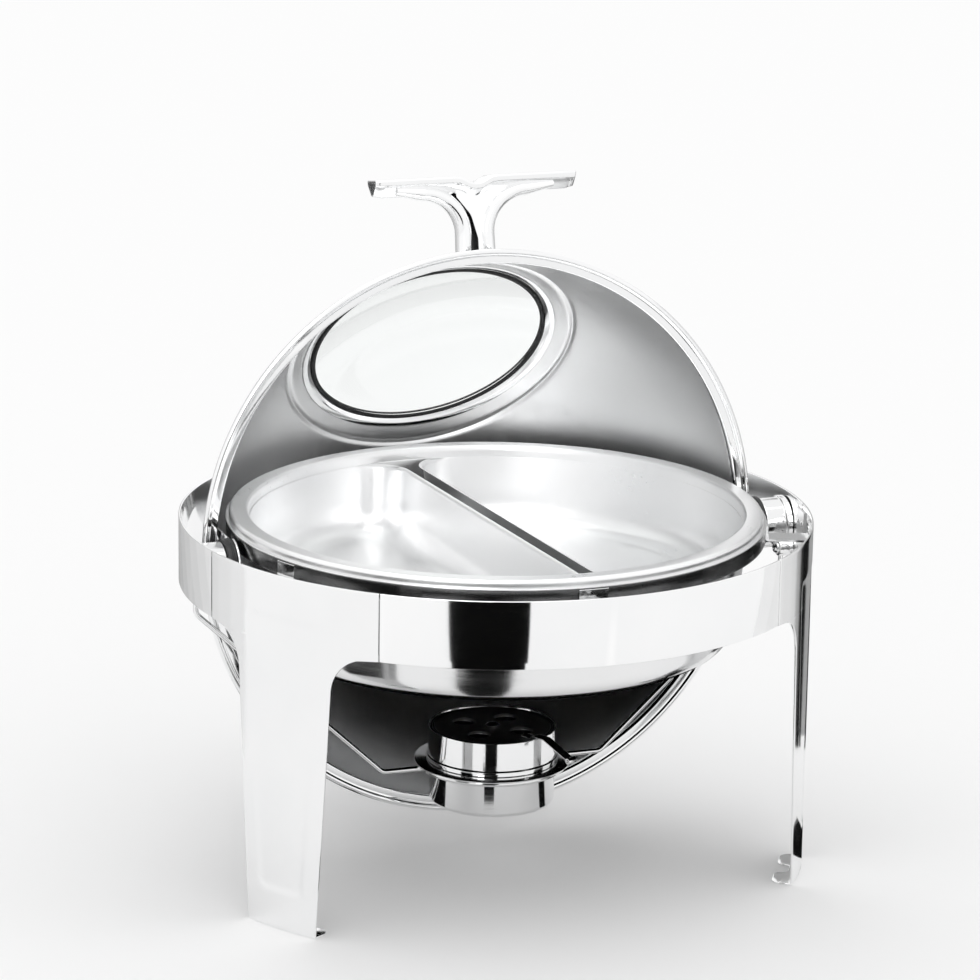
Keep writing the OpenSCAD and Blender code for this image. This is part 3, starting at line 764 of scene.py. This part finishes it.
# ---------------------------------------------------------------- water pan
BATH = [(0, 171.0)] + eased([(100, 171.0), (178.0, 171.0), (190.0, 262.2), (190.6, 263.5), (202.6, 263.5),
                             (202.6, 264.5), (188.9, 264.5),
                             (177.1, 171.9), (100, 171.9)], [0, 17, 4, 1.2, 0.45, 0.45, 2.5, 16, 0], 10,
                             closed=False) + [(0, 171.9)]
made(spun(BATH, steps=160, closed=False), "water_pan_shell", bath_steel, "water_pan", ["water_pan"])

# ---------------------------------------------------------------- hoop and brackets
made(spun(eased([(HOOP_R - 1.6, HOOP_TOP - 12), (HOOP_R, HOOP_TOP - 12), (HOOP_R, HOOP_TOP - 0.02),
                 (HOOP_R - 1.6, HOOP_TOP - 0.02)], 0.5, 3),
          steps=160), "pan_support_hoop", hoop_painted_shade_finish, "frame", ["pan_hoop"])


def bracket(azimuth, width):
    """A bent strip: a foot on the hoop, a flat shelf and a foot on the ring's inner wall."""
    z0 = HOOP_TOP - 12
    strip = eased([(HOOP_R, HOOP_TOP - 0.6), (HOOP_R, z0), (RING_IN - 0.02, z0),
                   (RING_IN - 0.02, RING_TOP - 5), (RING_IN - 1.6, RING_TOP - 5),
                   (RING_IN - 1.6, z0 + 1.6), (HOOP_R + 1.6, z0 + 1.6), (HOOP_R + 1.6, HOOP_TOP - 0.6)],
                  [0.4, 2.2, 2.2, 0.4, 0.4, 1.0, 1.0, 0.4], 5)
    half = math.degrees(width / 2 / 219)
    return spun(strip, -half, half, 12), at(azimuth)


bm = bmesh.new()
b, place = bracket(0, 24)
joined(bm, b, place)
made(bm, "front_hoop_bracket", mirror_small, "frame", ["hoop_bracket_front"])
bm = bmesh.new()
for a in (-68, 68):
    b, place = bracket(a, 20)
    joined(bm, b, place)
made(bm, "side_hoop_brackets", mirror_small, "frame", ["hoop_brackets_side"])


def dome_head(r, h):
    """A low button head with a soft edge."""
    return spun(eased([(0, h), (r * 0.55, h * 0.92), (r, h * 0.35), (r, 0), (0, 0)],
                      [0, r * 0.6, h * 0.25, 0.1, 0], 4), steps=28, closed=False)


STAND_IN = Matrix.Rotation(rad(-90), 4, "X")
bm = bmesh.new()
for a in (-68, 0, 68):
    for d in (-1.5, 1.5):
        joined(bm, dome_head(2.2, 1.1), at(a + d) @ Matrix.Translation((0, -RING_IN + 1.62,
                                                                        HOOP_TOP - 5.5)) @ STAND_IN)
made(bm, "bracket_rivet_heads", mirror_small, "frame", ["bracket_rivets"])

SEAMS = (-160, -80, -40, 40, 80, 160)
bm = bmesh.new()
for a in SEAMS:
    joined(bm, spun(eased([(RING_IN - 1.2, RING_BOT + 4), (RING_IN - 0.02, RING_BOT + 4),
                           (RING_IN - 0.02, RING_TOP - 5), (RING_IN - 1.2, RING_TOP - 5)],
                          [0.35, 0.1, 0.1, 0.35], 3), a - 2.6, a + 2.6, 10))
made(bm, "seam_backing_straps", can_satin, "frame", ["joint_straps"])
bm = bmesh.new()
for a in SEAMS:
    for d in (-1.3, 1.3):
        for z in (14, 35):
            joined(bm, dome_head(2.4, 1.1), at(a + d) @ Matrix.Translation((0, -RING_IN + 1.2,
                                                                            RING_BOT + z)) @ STAND_IN)
made(bm, "seam_rivet_heads", mirror_small, "frame", ["joint_rivets"])

# ---------------------------------------------------------------- hubs
HUB = Matrix.Translation((0, 0, PIVOT_Z)) @ Matrix.Rotation(rad(90), 4, "Y")
FLIP = Matrix.Diagonal((-1, 1, 1, 1))
LUG = 16.0
for side, mirror in (("right", Matrix.Identity(4)), ("left", FLIP)):
    drum = spun(eased([(4.0, 213.6), (19.0, 213.6), (19.0, 229.8), (20.4, 230.2), (20.4, 234.6),
                       (4.0, 234.6)],
                      [0, 1.6, 0.6, 0.5, 0, 0], 5), steps=96)
    drum.transform(HUB)
    lug = spun(eased([(0, 223.6), (6.4, 223.6), (6.4, 234.4), (0, 234.4)], [0, 0.7, 0, 0], 4), steps=48,
               closed=False)
    joined(drum, lug, Matrix.Translation((0, -LUG, -LUG)) @ HUB)
    made(drum, "hub_drum_" + side + "_turned", mirror_small, "frame", ["hub_drum_" + side],
         place=mirror)
    disc = spun(eased([(4.0, 206.6), (21.0, 206.6), (21.0, 208.6), (20.4, 209.0), (20.4, 209.8),
                       (21.0, 210.2), (21.0, 213.58), (4.0, 213.58)],
                      [0, 0.8, 0.2, 0.2, 0.2, 0.2, 0.8, 0], 4), steps=96)
    made(disc, "friction_disc_" + side, friction, "frame", ["hub_washer_" + side],
         place=mirror @ HUB)
    pin = spun(eased([(0, 202.4), (4.4, 202.7), (6.4, 203.6), (6.4, 204.44), (4.0, 204.44), (4.0, 213.0),
                      (0, 213.0)],
                     [0, 1.2, 0.6, 0.1, 0, 0, 0], 4), steps=48, closed=False)
    made(pin, "pivot_pin_" + side + "_head", mirror_small, "frame", ["pivot_pin_" + side],
         place=mirror @ HUB)


def slotted_head(r, h, slot):
    """A pan head standing on +Z from 0, with a cut across it."""
    bm = spun(eased([(0, h), (r * 0.6, h), (r, h * 0.45), (r, 0), (0, 0)], [0, r * 0.4, h * 0.3, 0.1, 0], 5),
              steps=40, closed=False)
    for x in (-slot, slot):
        bmesh.ops.bisect_plane(bm, geom=bm.verts[:] + bm.edges[:] + bm.faces[:], plane_co=(x, 0, 0),
                               plane_no=(1, 0, 0))
    upper = [f for f in bm.faces if f.calc_center_median().z > h * 0.5 and f.normal.z > 0.2]
    deep = [f for f in upper if abs(f.calc_center_median().x) < slot]
    if deep:
        got = bmesh.ops.extrude_face_region(bm, geom=deep)
        bmesh.ops.delete(bm, geom=deep, context="FACES")
        for v in new_verts(got):
            v.co.z = h * 0.42
    return bm


bm = bmesh.new()
for s in (-1, 1):
    m = Matrix.Translation((s * 223.6, -LUG, PIVOT_Z - LUG)) @ Matrix.Rotation(rad(-90 * s), 4,
                                                                               "Y") @ Matrix.Rotation(rad(35),
                                                                                                      4, "Z")
    joined(bm, slotted_head(4.6, 3.0, 0.6), m)
made(bm, "hub_screw_heads", mirror_small, "frame", ["hub_screws"], angle=50)


def ear(s):
    """The lid's side plate: round about the pin, with straight sides up to the dome, eased all round."""
    pts = []
    for k in range(33):
        a = rad(180 + 180 * k / 32)
        pts.append((21 * math.cos(a), 21 * math.sin(a)))
    pts += [(19, 2), (19, 46), (-19, 46), (-19, 2)]
    pts = eased(pts, [0] * 33 + [3, 6, 6, 3], 5)
    bm = bmesh.new()
    f = bm.faces.new([bm.verts.new((204.62, y, z)) for y, z in pts])
    got = bmesh.ops.extrude_face_region(bm, geom=[f])
    bmesh.ops.translate(bm, verts=new_verts(got), vec=(1.76, 0, 0))
    rim = [e for e in bm.edges if e.calc_face_angle(0) > rad(60)]
    bmesh.ops.bevel(bm, geom=rim, offset=0.4, segments=2, affect="EDGES", profile=0.5, material=-1)
    if s < 0:
        bm.transform(FLIP)
        bmesh.ops.reverse_faces(bm, faces=bm.faces)
    return bm


made(ear(1), "lid_side_plate_right", mirror_small, "lid", ["lid_ear_right"], place=LID_OPEN)
made(ear(-1), "lid_side_plate_left", mirror_small, "lid", ["lid_ear_left"], place=LID_OPEN)
bm = bmesh.new()
for s in (-1, 1):
    for y in (-10, 10):
        joined(bm, dome_head(4.0, 1.3), Matrix.Translation((s * 204.6, y,
                                                            RIM_OFF + 7)) @ Matrix.Rotation(rad(-90 * s), 4,
                                                                                            "Y"))
        joined(bm, dome_head(4.0, 1.1), Matrix.Translation((s * 206.4, y,
                                                            RIM_OFF + 7)) @ Matrix.Rotation(rad(90 * s), 4,
                                                                                            "Y"))
made(bm, "side_plate_rivets", mirror_small, "lid", ["ear_rivets"], place=LID_OPEN)

# ---------------------------------------------------------------- burner
def cradle():
    bm = spun(eased([(LOOP_R + WIRE_R * math.cos(2 * math.pi * k / 16),
                      WIRE_Z + WIRE_R * math.sin(2 * math.pi * k / 16)) for k in range(16)], 0), steps=96)
    x1, z1 = RING_IN - WIRE_R - 0.1, RING_BOT - 9
    for s in (-1, 1):
        line = bend([(s * LOOP_R, 0, WIRE_Z), (s * 88, 0, WIRE_Z), (s * x1, 0, z1), (s * x1, 0, z1 + 13)], 9)
        joined(bm, swept(circle(WIRE_R - 0.05, 16), along(line)))
    return made(bm, "burner_wire_cradle", mirror_small, "frame", ["fuel_cradle"])


cradle()
CUP = eased([(0, CUP_BASE), (44.8, CUP_BASE), (CUP_R, 43.0), (CUP_R, FLANGE_Z), (59.2, FLANGE_Z),
             (60.0, FLANGE_Z + 0.6), (59.2, FLANGE_Z + 1.2),
             (CUP_R, FLANGE_Z + 1.2), (CUP_R, 77.0), (46.7, 77.0), (46.7, 41.4), (44.4, 40.8), (0, 40.8)],
            [0, 3.5, 2.5, 0.3, 0.3, 0.5, 0.3, 0.4, 0.3, 0.3, 2, 2, 0], 5, closed=True)
made(spun(CUP, steps=128, closed=False), "fuel_cup_spun", mirror_round, "burner", ["burner_cup"])


def holed_plate(r, bore, z0, z1, first):
    """A round plate with a centre bore and four air holes."""
    bm = bmesh.new()
    for x, y, radius, n in [(0, 0, r, 96), (0, 0, bore, 32)] + [
            (24 * math.cos(rad(first + 90 * k)), 24 * math.sin(rad(first + 90 * k)), 9.0,
             48) for k in range(4)]:
        bmesh.ops.create_circle(bm, segments=n, radius=radius, matrix=Matrix.Translation((x, y, z0)))
    bmesh.ops.triangle_fill(bm, edges=bm.edges[:], use_beauty=True, normal=(0, 0, 1))
    got = bmesh.ops.extrude_face_region(bm, geom=bm.faces[:])
    bmesh.ops.translate(bm, verts=new_verts(got), vec=(0, 0, z1 - z0))
    return bm


def cap():
    """The cup's cover: a skirt with a bead at its foot and a raised edge round the air holes' plate."""
    pts = eased([(46.0, 97.0), (47.0, 97.6), (47.4, CAP_TOP), (CAP_R, CAP_TOP - 0.4), (CAP_R, 77.6),
                 (50.2, 77.2), (50.2, 73.3),
                 (47.6, 73.3), (47.6, 78.6), (47.7, 79.2), (47.7, 95.9), (46.0, 96.0)],
                [0, 0.5, 0.7, 1.2, 0.8, 0.8, 0.8, 0.1, 0.3, 0.3, 0.6, 0], 5)
    bm = spun(pts, steps=128)
    joined(bm, holed_plate(46.4, 2.2, 96.05, 96.95, 0))
    return made(bm, "cup_cover", mirror_round, "burner", ["burner_cap"])


cap()
made(spun(eased([(0, 41), (43.9, 41), (43.9, 88.8), (30.2, 88.8), (30.0, 88.0), (43.2, 88.0), (43.2, 41.8),
                 (0, 41.8)],
                [0, 3, 2, 0.3, 0.2, 1.5, 2, 0], 4), steps=72, closed=False), "fuel_tin", can_satin, "burner",
                ["fuel_can"])
made(spun(eased([(0, 41.8), (43.1, 41.8), (43.1, 73.6), (40, 73.0), (0, 73.2)], [0, 2, 0.4, 2, 0], 4),
          steps=72, closed=False),
     "fuel_gel_fill", gel, "burner", ["fuel_gel"])
made(spun(eased([(0, 101.1), (3.2, 100.9), (5.5, 99.6), (5.5, 99.4), (3.0, 99.4), (3.0, 97.0), (2.0, 97.0),
                 (2.0, 96.0), (0, 96.0)],
                [0, 1, 0.3, 0.1, 0, 0, 0, 0, 0], 4), steps=40, closed=False), "damper_rivet", mirror_small,
                "burner", ["damper_pin"])


def damper():
    disc = spun(eased([(43.4, 97.25), (46.2, 97.25), (46.2, 98.6), (44.5, 98.6), (43.4, 98.2)],
                      [0, 0.4, 0.5, 0.6, 0], 4), steps=96)
    joined(disc, holed_plate(43.7, 3.1, 97.28, 98.17, 45))
    made(disc, "damper_plate", plate_satin, "damper", ["damper_disc"])
    line = bend([(0, -34, 99.2), (0, -44.3, 99.2), (0, -45.6, 101.6), (0, -57, 101.6), (0, -80, 92.2),
                 (0, -84, 90.6)], 3, 6)
    strip = eased([(-4, -0.6), (4, -0.6), (4, 0.6), (-4, 0.6)], 0.4, 3)
    bm = swept(strip, along(line, side=(0, 0, 1)))
    # a rolled loop at the free end
    joined(bm, spun(eased([(1.1, -4), (2.4, -4), (2.4, 4), (1.1, 4)], 0.4, 3), steps=24),
           Matrix.Translation((0, -83.0, 91.0)) @ Matrix.Rotation(rad(90), 4, "Y"))
    made(bm, "damper_lever", mirror_small, "damper", ["damper_handle"], place=at(25))


damper()

# ---------------------------------------------------------------- every CAD node that still shows
for n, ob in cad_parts.items():
    if not ob.hide_render:
        ob.data.materials.clear()
        ob.data.materials.append(mirror_small)

# ---------------------------------------------------------------- stage, light and camera
def plain(name, colour):
    m, nt, b = new_finish(name)
    b.inputs["Base Color"].default_value = (colour,) * 3 + (1,)
    b.inputs["Roughness"].default_value = 0.9
    b.inputs["Specular IOR Level"].default_value = 0.0
    return m


def unseen(ob):
    """Only polished surfaces show it: the camera, soft light and shadows do not."""
    ob.visible_camera = ob.visible_diffuse = ob.visible_shadow = False


def card(name, corners, finish):
    me = bpy.data.meshes.new(name)
    me.from_pydata([Vector(c) for c in corners], [], [range(len(corners))])
    ob = shown(name, me, finish)
    unseen(ob)
    return ob


def round_card(name, radius, segments, height, finish):
    bm = bmesh.new()
    place = Matrix.Translation((0, 0, height))
    bmesh.ops.create_circle(bm, cap_ends=True, segments=segments, radius=radius, matrix=place)
    ob = shown(name, mesh_of(bm, name), finish)
    return ob


floor_finish = plain("pale_floor", 0.93)
black = plain("black_card", 0.004)
soft_grey = plain("soft_grey_card", 0.42)
FLOOR_R = 14
round_card("floor", FLOOR_R, 96, 0, floor_finish)


def standing(name, azimuth, distance, half, z0, z1, finish, turn=0.0):
    """An upright card facing the object; azimuth 0 is the front, towards -Y."""
    a = rad(azimuth)
    c = Vector((math.sin(a) * distance, -math.cos(a) * distance, 0))
    t = Vector((math.cos(a + rad(turn)), math.sin(a + rad(turn)), 0)) * half
    return card(name, [c - t + Vector((0, 0, z0)), c + t + Vector((0, 0, z0)), c + t + Vector((0, 0, z1)),
                       c - t + Vector((0, 0, z1))], finish)


def lying(name, azimuth, r0, r1, half0, half1, finish):
    """A card flat on the floor, running out from the object along an azimuth."""
    a = rad(azimuth)
    out, side = Vector((math.sin(a), -math.cos(a), 0)), Vector((math.cos(a), math.sin(a), 0))
    rise = Vector((0, 0, 0.0006))
    return card(name, [out * r0 - side * half0 + rise, out * r0 + side * half0 + rise,
                       out * r1 + side * half1 + rise,
                       out * r1 - side * half1 + rise], finish)


standing("front_black_card", -21.6, 0.62, 0.125, 0.0, 0.40, black)
lying("front_floor_card", -24.0, 0.16, 0.46, 0.022, 0.09, black)
standing("front_low_card", -21.6, 0.45, 0.078, 0.0, 0.158, black)
lying("cup_left_card", -128, 0.09, 0.32, 0.05, 0.12, black)
lying("cup_right_card", 75, 0.09, 0.30, 0.012, 0.045, black)
standing("leg_black_card", 99.3, 0.443, 0.04, 0.0, 0.27, black, turn=30.2)
standing("leg_grey_card", 108.4, 0.4357, 0.15, 0.0, 0.30, soft_grey, turn=33)
# graded cards on both sides shade the ring and legs towards their edges
for k in range(9):
    shade = plain("graded_card_%d" % k, 0.50 + 0.055 * k)
    standing("left_graded_card_%d" % k, -164 + 7.4 * k, 0.54, 0.036, 0.0, 0.62, shade)
    standing("right_graded_card_%d" % k, 134 - 7.4 * k, 0.60, 0.040, 0.0, 0.62, shade)
unseen(round_card("under_card", 0.168, 64, 0.124, black))

world = bpy.data.worlds.new("studio")
scene.world = world
world.use_nodes = True
world.node_tree.nodes["Background"].inputs["Color"].default_value = (1, 1, 1, 1)
world.node_tree.nodes["Background"].inputs["Strength"].default_value = 1.05


def lamp(name, place, target, size, power):
    """A soft lamp that lights glossy surfaces only."""
    data = bpy.data.lights.new(name, "AREA")
    data.shape = "RECTANGLE"
    data.size, data.size_y = size
    data.energy = power
    ob = bpy.data.objects.new(name, data)
    ob.location = place
    ob.rotation_euler = (Vector(target) - Vector(place)).to_track_quat("-Z", "Y").to_euler()
    ob.visible_diffuse = False
    scene.collection.objects.link(ob)
    return ob


lamp("top_softbox", (-0.4, -0.6, 2.6), (0, 0, 0.2), (2.2, 2.2), 18)
lamp("front_softbox", (-1.3, -2.0, 1.3), (0, 0.1, 0.35), (1.0, 1.2), 10)

TARGET, DISTANCE = Vector((-0.0051891, 0, 0.2838168)), 3.2279989
LENS, SENSOR = 158.5573457142857, 36
psi, el, roll = rad(20.12864), rad(14.87233), rad(0.937337)
back = Vector((-math.sin(psi) * math.cos(el), -math.cos(psi) * math.cos(el), math.sin(el)))
right = Vector((math.cos(psi), -math.sin(psi), 0))
up = back.cross(right)
r2 = right * math.cos(roll) + up * math.sin(roll)
u2 = up * math.cos(roll) - right * math.sin(roll)
cam_data = bpy.data.cameras.new("camera")
cam_data.lens = LENS
cam_data.sensor_width = SENSOR
cam_data.clip_end = 60
camera = bpy.data.objects.new("camera", cam_data)
scene.collection.objects.link(camera)
m = Matrix((r2, u2, back)).transposed().to_4x4()
m.translation = TARGET + back * DISTANCE
camera.matrix_world = m
scene.camera = camera
